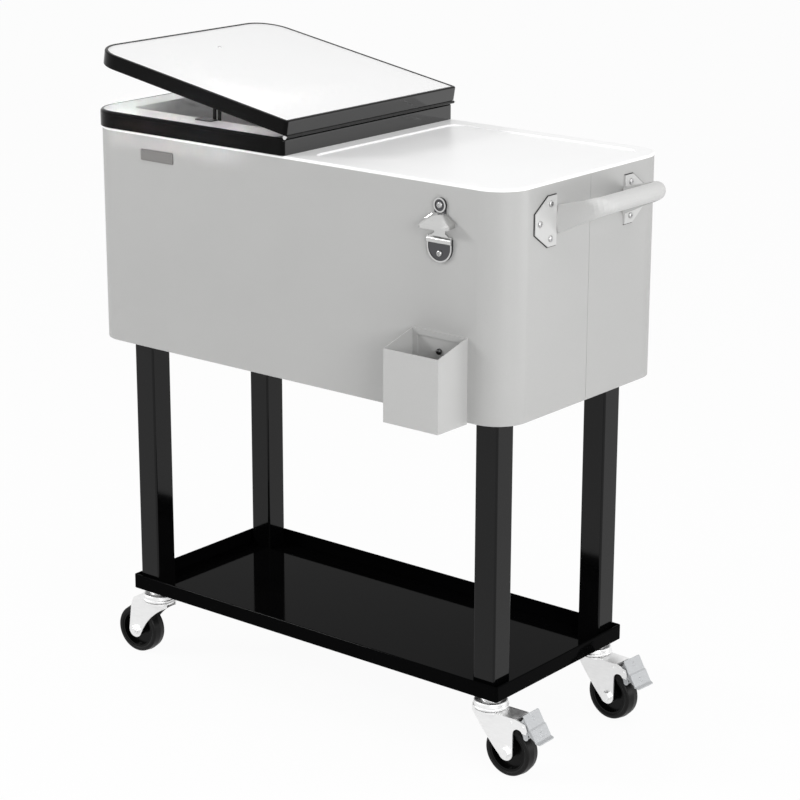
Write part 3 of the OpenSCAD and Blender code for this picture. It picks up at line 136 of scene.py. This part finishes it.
def add_node(tree, kind, inputs, **settings):
    """A shader node with its settings; each input is linked from a socket or set to a value."""
    node = tree.nodes.new("ShaderNode" + kind)
    for key, value in settings.items():
        setattr(node, key, value)
    for key, value in inputs.items():
        feed(tree, node.inputs[key], value)
    return node


def feed(tree, socket, value):
    """Links an input from another node's output, or sets it to a value."""
    if isinstance(value, bpy.types.NodeSocket):
        tree.links.new(value, socket)
    else:
        socket.default_value = value


def maths(tree, operation, first, second, third=0.5, clamp=False):
    """The output of a Math node on two or three numbers or sockets."""
    inputs = {0: first, 1: second, 2: third}
    return add_node(tree, "Math", inputs, operation=operation, use_clamp=clamp).outputs[0]


def map_range(tree, value, from_min, from_max, to_min, to_max):
    """The output of a Map Range node, which is clamped to its two ends."""
    return add_node(tree, "MapRange", {"Value": value, "From Min": from_min, "From Max": from_max,
                                       "To Min": to_min, "To Max": to_max}).outputs[0]


def object_place(tree):
    """The place on the piece, in metres."""
    return add_node(tree, "TexCoord", {}).outputs["Object"]


def noise(tree, vector, scale, detail):
    """The height of a noise pattern, from 0 to 1."""
    return add_node(tree, "TexNoise", {"Vector": vector, "Scale": scale, "Detail": detail}).outputs["Fac"]


def scaled_colour(tree, colour, scale):
    """A colour times a number."""
    return add_node(tree, "VectorMath", {0: colour, "Scale": scale}, operation="SCALE").outputs[0]


def new_group(name, inputs, outputs):
    """A node group with named inputs, each of a kind and a default, and named outputs, each of a kind."""
    tree = bpy.data.node_groups.new(name, "ShaderNodeTree")
    for key, (kind, default) in inputs.items():
        item = tree.interface.new_socket(name=key, in_out="INPUT", socket_type="NodeSocket" + kind)
        item.default_value = default
    for key, kind in outputs.items():
        tree.interface.new_socket(name=key, in_out="OUTPUT", socket_type="NodeSocket" + kind)
    return tree, tree.nodes.new("NodeGroupInput").outputs, tree.nodes.new("NodeGroupOutput").inputs


def powder_coat_grain():
    """Powder coat: a fine orange-peel height, and a slow cloud that shifts tone and gloss a little."""
    tree, given, result = new_group(
        "powder_coat_grain",
        {"Grain Size": ("Float", 900.0), "Speckle": ("Float", 0.1), "Colour": ("Color", (0.5, 0.5, 0.5, 1))},
        {"Colour": "Color", "Height": "Float", "Cloud": "Float"})
    cloud_scale, grain_share, cloud_share = 7, 0.7, 0.3
    place = object_place(tree)
    grain = noise(tree, place, given["Grain Size"], 3)
    cloud = noise(tree, place, cloud_scale, 2)
    mottle = maths(tree, "MULTIPLY_ADD", grain, grain_share, maths(tree, "MULTIPLY", cloud, cloud_share))
    darkest = maths(tree, "SUBTRACT", 1.0, given["Speckle"])
    lightest = maths(tree, "ADD", 1.0, given["Speckle"])
    tone = map_range(tree, mottle, NOISE_LOW, NOISE_HIGH, darkest, lightest)
    feed(tree, result["Colour"], scaled_colour(tree, given["Colour"], tone))
    feed(tree, result["Height"], grain)
    feed(tree, result["Cloud"], cloud)
    return tree


def plated_streaks():
    """Drawn or plated metal: long fine streaks along X and small dull spots."""
    tree, given, result = new_group(
        "plated_streaks",
        {"Colour": ("Color", (0.6, 0.6, 0.6, 1)), "Dull": ("Float", 0.3)},
        {"Colour": "Color", "Roughness": "Float", "Height": "Float"})
    along_scale, across_scale, spot_scale = 60, 400, 90
    spot_low, spot_dullness, tone_change = 0.35, 0.08, 0.05
    place = object_place(tree)
    stretch = {"Vector": place, "Scale": (along_scale, across_scale, across_scale)}
    streak = noise(tree, add_node(tree, "Mapping", stretch).outputs["Vector"], 1, 4)
    spot = noise(tree, place, spot_scale, 3)
    dullest = maths(tree, "ADD", given["Dull"], spot_dullness)
    tone = map_range(tree, streak, 0.0, 1.0, 1 - tone_change, 1 + tone_change)
    feed(tree, result["Colour"], scaled_colour(tree, given["Colour"], tone))
    feed(tree, result["Roughness"], map_range(tree, spot, spot_low, NOISE_HIGH, given["Dull"], dullest))
    feed(tree, result["Height"], streak)
    return tree


def group_node(tree, maker, inputs):
    """The outputs of a shader node group, which is made the first time that it is asked for."""
    if maker not in GROUPS:
        GROUPS[maker] = maker()
    return add_node(tree, "Group", inputs, node_tree=GROUPS[maker]).outputs


# Finishes


def new_material(name):
    """A material of that name with a Principled shader, as (node tree, shader)."""
    material = bpy.data.materials.new(name)
    material.use_nodes = True
    MATERIALS[name] = material
    return material.node_tree, material.node_tree.nodes["Principled BSDF"]


def add_bump(tree, shader, height, strength, distance):
    """A bump from a height that feeds the shader's normal."""
    bump = add_node(tree, "Bump", {"Height": height, "Strength": strength, "Distance": distance})
    feed(tree, shader.inputs["Normal"], bump.outputs["Normal"])


def powder_coat(name, colour, roughness, metallic=0.0, grain=900.0, speckle=0.1, bump=0.1, shine=0.5):
    """Painted metal or moulded plastic with a fine grain; shine is the shader's specular level."""
    gloss_change = 0.08
    tree, shader = new_material(name)
    coat = group_node(tree, powder_coat_grain,
                      {"Colour": (*colour, 1), "Grain Size": grain, "Speckle": speckle})
    gloss = map_range(tree, coat["Cloud"], NOISE_LOW, NOISE_HIGH,
                      roughness * (1 - gloss_change), roughness * (1 + gloss_change))
    feed(tree, shader.inputs["Base Color"], coat["Colour"])
    feed(tree, shader.inputs["Roughness"], gloss)
    shader.inputs["Metallic"].default_value = metallic
    shader.inputs["Specular IOR Level"].default_value = shine
    if bump:
        add_bump(tree, shader, coat["Height"], bump, GRAIN_DEPTH)
    return tree, shader


def moulding_with_painted_side_sheen(name, colour, place, lean):
    """Gloss black moulding with a painted reflection on its flat hinge side, made to mirror the white deck
    beside it more than the rest.

    The hinge side lies on a plane through the place, whose normal leans down from X. The painted shine
    follows a point's distance along that normal, and grows between two small depths behind the plane."""
    front_shine, painted_side_shine = 0.08, 1.0
    least_depth, most_depth = 0.0002, 0.0005
    tree, shader = powder_coat(name, colour, 0.05, grain=500.0, bump=0.0, shine=front_shine)
    normal = Vector((math.cos(lean), 0.0, -math.sin(lean)))
    face = Vector(place).dot(normal)
    across = add_node(tree, "VectorMath", {0: object_place(tree), 1: normal}, operation="DOT_PRODUCT")
    # painted reflection: the specular level rises from the front's to the hinge side's behind the plane
    shine = map_range(tree, across.outputs["Value"], face - most_depth, face - least_depth,
                      front_shine, painted_side_shine)
    feed(tree, shader.inputs["Specular IOR Level"], shine)


def plated(name, colour, dull, bump=0.05):
    """Zinc, nickel or plain steel with fine streaks."""
    tree, shader = new_material(name)
    metal = group_node(tree, plated_streaks, {"Colour": (*colour, 1), "Dull": dull})
    feed(tree, shader.inputs["Base Color"], metal["Colour"])
    feed(tree, shader.inputs["Roughness"], metal["Roughness"])
    shader.inputs["Metallic"].default_value = 1.0
    add_bump(tree, shader, metal["Height"], bump, STREAK_DEPTH)
    return tree, shader, metal


def nickel_with_painted_dark_fields(name, colour, dull):
    """Polished nickel whose low fields are darkened, a painted dark reflection that sets off the raised
    rims.

    A surface is a low field where it stands less than the field's thickness off the shell. The neck
    between the plate's rolled edge and the hood stays bright."""
    field_thickness, fade = 0.0034, 0.0004
    neck_height, neck_reach = 0.8205, 0.0175
    tree, shader, metal = plated(name, colour, dull, bump=0.02)
    place = add_node(tree, "SeparateXYZ", {"Vector": object_place(tree)}).outputs
    top = at(0.0, -HALF_WIDTH, 0.0)[1] - field_thickness
    # mask of the painted dark reflection: 1 on the low fields, 0 off them
    low = map_range(tree, place["Y"], top - fade, top, 0.0, 1.0)
    neck = maths(tree, "COMPARE", place["Z"], neck_height, neck_reach)
    share = maths(tree, "SUBTRACT", low, neck, clamp=True)
    # painted dark reflection: the low fields' colour is mixed towards near black
    tone = add_node(tree, "Mix", {"Factor": share, "A": metal["Colour"], "B": (0.09, 0.09, 0.095, 1)},
                    data_type="RGBA")
    feed(tree, shader.inputs["Base Color"], tone.outputs["Result"])


def make_finishes(s):
    """Every finish of the cooler, from the colours of its settings."""
    powder_coat("silver_powder_coat", s.shell, 0.42, grain=1400.0, speckle=0.04)
    powder_coat("silver_handle_coat", s.handle, 0.36, grain=1400.0, speckle=0.04)
    powder_coat("silver_catcher_coat", s.catcher, 0.36, grain=1400.0, speckle=0.04)
    powder_coat("white_deck_paint", s.deck, 0.34, grain=1200.0, speckle=0.02, bump=0.08)
    powder_coat("white_lid_paint", s.deck, 0.34, grain=1200.0, speckle=0.02, bump=0.08)
    powder_coat("light_liner", s.liner, 0.4, grain=700.0, speckle=0.03, bump=0.08)
    powder_coat("yellow_foam", (0.80, 0.72, 0.48), 0.9, grain=400.0, speckle=0.12, bump=0.5)
    # the hinge sides of the frame and the lid skirt carry a painted reflection
    moulding_with_painted_side_sheen("gloss_black_frame_painted_sheen", s.trim, FRAME_PAINTED_SHEEN_SIDE, 0.0)
    moulding_with_painted_side_sheen("gloss_black_skirt_painted_sheen", s.trim, SKIRT_PAINTED_SHEEN_SIDE, LID_AJAR)
    powder_coat("black_hinge", (0.01, 0.01, 0.01), 0.3, shine=0.3)
    powder_coat("black_stay", (0.004, 0.004, 0.004), 0.3, grain=700.0, shine=0.1)
    powder_coat("black_gasket", (0.02, 0.02, 0.02), 0.6, grain=600.0, bump=0.2, shine=0.3)
    powder_coat("black_plug", (0.02, 0.02, 0.02), 0.5, grain=600.0, bump=0.15, shine=0.3)
    powder_coat("black_powder_coat", s.cart, 0.09, grain=1300.0, speckle=0.12, bump=0.0, shine=0.22)
    powder_coat("black_tray_coat", s.cart, 0.06, grain=1300.0, speckle=0.12, bump=0.0, shine=0.01)
    powder_coat("tyre_rubber", (0.005, 0.005, 0.005), 0.4, grain=500.0, speckle=0.15, bump=0.15, shine=0.15)
    powder_coat("black_hub", (0.002, 0.002, 0.002), 0.25, grain=600.0, bump=0.06, shine=0.12)
    powder_coat("pedal_zinc", (0.44, 0.45, 0.46), 0.5, metallic=0.3, speckle=0.05, bump=0.03)
    plated("bright_zinc", s.zinc, 0.4, bump=0.02)
    plated("galvanised_pan", (0.5, 0.5, 0.5), 0.45)
    plated("plain_steel", (0.66, 0.66, 0.66), 0.22)
    plated("screw_steel", (0.46, 0.46, 0.46), 0.3)
    plated("dark_screw", (0.07, 0.07, 0.07), 0.3)
    plated("badge_metal", (0.24, 0.235, 0.23), 0.3)
    # the opener's low fields carry a painted dark reflection
    nickel_with_painted_dark_fields("nickel_with_painted_dark_fields", s.nickel, 0.14)


NODE_FINISH = {
    "outer_shell": "silver_powder_coat", "shell_bottom": "galvanised_pan", "foam_insulation": "yellow_foam",
    "inner_liner": "light_liner", "opening_collar": "light_liner", "top_deck": "white_deck_paint",
    "lid_frame": "gloss_black_frame_painted_sheen", "frame_hinge_leaf": "black_hinge", "hinge_rod": "plain_steel",
    "stay_keeper": "black_stay", "lid_skirt": "gloss_black_skirt_painted_sheen", "lid_panel": "white_lid_paint",
    "lid_foam": "yellow_foam", "lid_liner": "light_liner", "lid_gasket": "black_gasket",
    "lid_hinge_leaf": "black_hinge", "lid_stay": "black_stay", "lid_screws": "plain_steel",
    "handle_tube": "silver_handle_coat", "handle_flanges": "silver_handle_coat",
    "handle_screws": "screw_steel", "bottle_opener": "nickel_with_painted_dark_fields", "opener_screws": "screw_steel",
    "cap_catcher": "silver_catcher_coat", "catcher_screws": "dark_screw", "leg_sockets": "black_plug",
    "leg_inserts": "black_plug", "tray": "black_tray_coat", "drain_spout": "light_liner",
    "drain_seal": "black_gasket", "drain_cap": "black_plug",
}
CORNER_FINISH = {
    "leg": "black_powder_coat", "mount": "bright_zinc", "fork": "bright_zinc", "tyre": "tyre_rubber",
    "hub": "black_hub", "axle": "bright_zinc", "brake": "pedal_zinc",
}
CORNERS = ("front_left", "front_right", "rear_left", "rear_right")
NODE_FINISH.update({f"{part}_{corner}": name for part, name in CORNER_FINISH.items() for corner in CORNERS})


# Stage


def ray_share(tree, kinds):
    """1 for a ray of one of the kinds, and 0 for any other."""
    path = add_node(tree, "LightPath", {}).outputs
    share = path[kinds[0]]
    for kind in kinds[1:]:
        share = maths(tree, "MAXIMUM", share, path[kind])
    return share


def mix_shaders(tree, share, first, second):
    """Two shaders mixed by a share of the second."""
    return add_node(tree, "MixShader", {"Fac": share, 1: first, 2: second}).outputs[0]


SEEN_RAYS = ("Is Camera Ray", "Is Glossy Ray", "Is Transmission Ray")
WHITE = (1, 1, 1, 1)


def make_world(air):
    """A world that looks white, and lights the part evenly from all round by the strength of the air."""
    world = bpy.data.worlds.new("studio")
    world.use_nodes = True
    tree = world.node_tree
    tree.nodes.clear()
    soft = add_node(tree, "Background", {"Color": WHITE, "Strength": air}).outputs[0]
    plain = add_node(tree, "Background", {"Color": WHITE, "Strength": 1.0}).outputs[0]
    add_node(tree, "OutputWorld", {"Surface": mix_shaders(tree, ray_share(tree, SEEN_RAYS), soft, plain)})
    return world


def make_floor(reach=12.0, whiteness=0.95):
    """A square floor that glows nearly white where it is seen, and keeps the cooler's shadow."""
    mesh = bpy.data.meshes.new("studio_floor")
    corners = [(-reach, -reach, 0), (reach, -reach, 0), (reach, reach, 0), (-reach, reach, 0)]
    mesh.from_pydata(corners, [], [(0, 1, 2, 3)])
    tree, shader = new_material("pale_floor")
    shader.inputs["Base Color"].default_value = (0.82, 0.82, 0.82, 1)
    shader.inputs["Roughness"].default_value = 0.9
    glow = add_node(tree, "Emission", {"Color": WHITE, "Strength": 1.0}).outputs[0]
    share = maths(tree, "MULTIPLY", ray_share(tree, SEEN_RAYS), whiteness)
    surface = mix_shaders(tree, share, shader.outputs[0], glow)
    feed(tree, tree.nodes["Material Output"].inputs["Surface"], surface)
    mesh.materials.append(MATERIALS["pale_floor"])
    floor = bpy.data.objects.new("studio_floor", mesh)
    bpy.context.scene.collection.objects.link(floor)


def make_lamp(name, place, size, power, target, spread=180.0):
    """A rectangular lamp of a size in metres and a power in watts, aimed at a target."""
    data = bpy.data.lights.new(name, "AREA")
    data.shape = "RECTANGLE"
    data.size, data.size_y = size
    data.energy = power
    data.spread = math.radians(spread)
    light = bpy.data.objects.new(name, data)
    light.location = place
    light.rotation_euler = (Vector(place) - Vector(target)).to_track_quat("Z", "Y").to_euler()
    bpy.context.scene.collection.objects.link(light)


def make_camera(s):
    """A camera whose back axis points away from the part, by the azimuth from the front towards the handle
    end and by the elevation, with its other two axes turned about it by the roll."""
    a, e, r = s.azimuth, s.elevation, s.roll
    right = Vector((math.cos(a), math.sin(a), 0))
    back = Vector((math.sin(a) * math.cos(e), -math.cos(a) * math.cos(e), math.sin(e)))
    up = back.cross(right)
    turned_right = math.cos(r) * right + math.sin(r) * up
    turned_up = math.cos(r) * up - math.sin(r) * right
    data = bpy.data.cameras.new("photo_camera")
    data.sensor_width = 36.0
    data.lens = s.lens
    data.clip_end = 50.0
    camera = bpy.data.objects.new("photo_camera", data)
    matrix = Matrix((turned_right, turned_up, back)).transposed().to_4x4()
    matrix.translation = Vector(CAMERA_PLACE)
    camera.matrix_world = matrix
    bpy.context.scene.collection.objects.link(camera)
    return camera


# Settings


def colour_setting(name, text, default):
    """A colour that the sidebar shows."""
    return bpy.props.FloatVectorProperty(name=name, description=text, default=default, subtype="COLOR",
                                         size=3, min=0.0, max=1.0)


def length_setting(name, text, default):
    """A length that the sidebar shows."""
    return bpy.props.FloatProperty(name=name, description=text, default=default, unit="LENGTH")


def angle_setting(name, text, degrees):
    """An angle that the sidebar shows."""
    return bpy.props.FloatProperty(name=name, description=text, default=math.radians(degrees),
                                   subtype="ANGLE")


def amount_setting(name, text, default, least=0.0):
    """A number that the sidebar shows, with its least value."""
    return bpy.props.FloatProperty(name=name, description=text, default=default, min=least)


class CoolerFinishSettings(bpy.types.PropertyGroup):
    """Colours of the cooler's finishes."""

    shell: colour_setting("Shell", "Silver powder coat of the box", (0.39, 0.39, 0.385))
    deck: colour_setting("Deck", "White paint of the deck and the lid", (0.90, 0.90, 0.90))
    trim: colour_setting("Trim", "Gloss black frame and lid skirt", (0.001, 0.001, 0.001))
    cart: colour_setting("Cart", "Black coat of the legs and the tray", (0.0015, 0.0015, 0.0016))
    liner: colour_setting("Liner", "Light plastic of the collar and the liner", (0.97, 0.97, 0.97))
    handle: colour_setting("Handle", "Silver coat of the handle", (0.50, 0.50, 0.495))
    catcher: colour_setting("Catcher", "Silver coat of the cap catcher", (0.43, 0.43, 0.425))
    zinc: colour_setting("Zinc", "Bright zinc of the casters", (0.84, 0.84, 0.84))
    nickel: colour_setting("Nickel", "Satin nickel of the opener", (0.58, 0.58, 0.575))


class CoolerTrimSettings(bpy.types.PropertyGroup):
    """Sizes of the small trim."""

    badge_width: length_setting("Badge width", "Width of the plain badge plate", 0.0667)
    badge_height: length_setting("Badge height", "Height of the plain badge plate", 0.0178)
    badge_depth: length_setting("Badge depth", "How far the badge stands proud", 0.0016)
    # The flange pads are thin dark strips, a painted shadow round the edges of the handle's flanges
    shadow_pad_edge: length_setting("Pad edge", "How far the flange pads show past the flanges", 0.0011)
    shadow_pad_height: length_setting("Pad height", "Thickness of the flange pads", 0.0014)


class CoolerStageSettings(bpy.types.PropertyGroup):
    """Camera and lamps."""

    lens: amount_setting("Lens", "Focal length of the camera in millimetres", 109.80, least=10.0)
    azimuth: angle_setting("Azimuth", "Turn of the camera round the part", 38.93)
    elevation: angle_setting("Elevation", "Height angle of the camera", 16.69)
    roll: angle_setting("Roll", "Turn of the camera about its own axis", 0.16)
    key: amount_setting("Key lamp", "Power of the lamp in front on the left, in watts", 52.0)
    side: amount_setting("Side lamp", "Power of the lamp at the handle end, in watts", 66.0)
    top: amount_setting("Top lamp", "Power of the lamp above, in watts", 32.0)
    low: amount_setting("Low lamp", "Power of the lamp that shines under the lid, in watts", 0.2)
    rear: amount_setting("Rear lamp", "Power of the lamp behind on the right, in watts", 19.0)
    air: amount_setting("Room light", "Strength of the even light from all round", 0.5)


# Operators


class COOLER_OT_finishes(bpy.types.Operator):
    """Make the finishes and put them on the parts of the frame"""

    bl_idname = "cooler.finishes"
    bl_label = "Finishes"

    def execute(self, context):
        make_finishes(context.scene.cooler_finish)
        for name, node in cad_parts.items():
            node.data.materials.clear()
            node.data.materials.append(MATERIALS[NODE_FINISH[name]])
        return {"FINISHED"}


class COOLER_OT_badge(bpy.types.Operator):
    """Make the bare badge plate on the front of the shell"""

    bl_idname = "cooler.badge"
    bl_label = "Badge plate"

    def execute(self, context):
        s = context.scene.cooler_trim
        corner_radius, edge_drop, field_drop, middle_gap = 0.0022, 0.0003, 0.0007, 0.0001
        edge, field = s.badge_depth - edge_drop, s.badge_depth - field_drop
        # from the foot of the plate over its bevelled rim to the middle of its field
        offsets = [0.0, 0.0002, 0.0005, 0.0012, 0.0015, 0.0019, s.badge_height / 2 - middle_gap]
        heights = [0.0, edge, s.badge_depth, s.badge_depth, edge, field, field]
        across, up, out = rounded_rings(s.badge_width, s.badge_height, corner_radius, offsets, heights)
        x, y, z = BADGE_CENTRE
        points = np.stack([x + across, y - out, z + up], axis=-1).reshape(-1, 3)
        rows, columns = across.shape
        faces = ring_faces(rows, columns)
        faces.append(list(range((rows - 1) * columns, rows * columns)))
        faces.append(list(range(columns))[::-1])
        mesh_piece("badge_plate", points, faces, "cart", "badge_metal")
        return {"FINISHED"}


class COOLER_OT_shadow_pads(bpy.types.Operator):
    """Make thin dark strips round the outer edges of the handle's flanges, as a painted shadow where they
    stand off the shell
    """

    bl_idname = "cooler.pads"
    bl_label = "Flange pads"

    def execute(self, context):
        s = context.scene.cooler_trim
        # half of the flange's outline: a straight edge, a bevel and a nose, from its inner edge outwards
        straight, reach, half, nose = 0.020, 0.050, 0.0355, 0.0145
        outline = np.array([[0.0, -half], [straight, -half], [reach, -nose],
                            [reach, nose], [straight, half], [0.0, half]])
        beside, above = 0.00005, 0.00003
        for side, name in ((-1, "near"), (1, "far")):
            points, faces = edge_strip(outline, beside, s.shadow_pad_edge, above, s.shadow_pad_height)
            x, y, z = at(HALF_LENGTH, side * FLANGE_INNER_EDGE, FLANGE_HEIGHT)
            placed = np.stack([x + points[:, 2], y + side * points[:, 0], z + points[:, 1]], axis=-1)
            if side > 0:
                faces = [face[::-1] for face in faces]
            # painted shadow: the dark strip stands for the shade round the flange
            mesh_piece("flange_shadow_pad_" + name, placed, faces, "cart", "black_gasket")
        return {"FINISHED"}


class COOLER_OT_stage(bpy.types.Operator):
    """Make the floor, the world, the lamps and the camera"""

    bl_idname = "cooler.stage"
    bl_label = "Stage"

    def execute(self, context):
        s = context.scene.cooler_stage
        scene = context.scene
        scene.view_settings.view_transform = "Standard"
        scene.world = make_world(s.air)
        make_floor()
        make_lamp("key_softbox", (-2.5, -2.35, 2.0), (1.0, 0.3), s.key, (-0.1, 0.0, 0.75))
        make_lamp("side_softbox", (3.2, -1.9, 1.6), (1.5, 1.5), s.side, (0.2, 0.0, 0.6))
        make_lamp("top_softbox", (1.4, -0.4, 3.3), (2.2, 2.2), s.top, (0.1, 0.0, 0.8))
        make_lamp("low_softbox", (-0.55, -3.4, 1.66), (0.36, 0.05), s.low, (-0.29, -0.17, 0.925), spread=2.0)
        make_lamp("rear_softbox", (3.2, 1.8, 0.46), (1.3, 0.7), s.rear, (0.0, 0.0, 0.9))
        scene.camera = make_camera(s)
        return {"FINISHED"}


class COOLER_PT_panel(bpy.types.Panel):
    """Sidebar panel with the cooler's settings and steps"""

    bl_idname = "COOLER_PT_panel"
    bl_label = "Cooler"
    bl_space_type = "VIEW_3D"
    bl_region_type = "UI"
    bl_category = "Cooler"

    def draw(self, context):
        for settings in (context.scene.cooler_finish, context.scene.cooler_trim, context.scene.cooler_stage):
            box = self.layout.box()
            for key in settings.__annotations__:
                box.prop(settings, key)
        for step in STEPS:
            self.layout.operator(step.bl_idname)


STEPS = (COOLER_OT_finishes, COOLER_OT_badge, COOLER_OT_shadow_pads, COOLER_OT_stage)
CLASSES = (CoolerFinishSettings, CoolerTrimSettings, CoolerStageSettings) + STEPS + (COOLER_PT_panel,)


def register():
    for cls in CLASSES:
        bpy.utils.register_class(cls)
    bpy.types.Scene.cooler_finish = bpy.props.PointerProperty(type=CoolerFinishSettings)
    bpy.types.Scene.cooler_trim = bpy.props.PointerProperty(type=CoolerTrimSettings)
    bpy.types.Scene.cooler_stage = bpy.props.PointerProperty(type=CoolerStageSettings)


def unregister():
    del bpy.types.Scene.cooler_stage
    del bpy.types.Scene.cooler_trim
    del bpy.types.Scene.cooler_finish
    for cls in reversed(CLASSES):
        bpy.utils.unregister_class(cls)


def main():
    register()
    bpy.ops.cooler.finishes()
    bpy.ops.cooler.badge()
    # the pads step adds the painted shadow round the handle's flanges
    bpy.ops.cooler.pads()
    bpy.ops.cooler.stage()


if __name__ == "__main__":
    main()
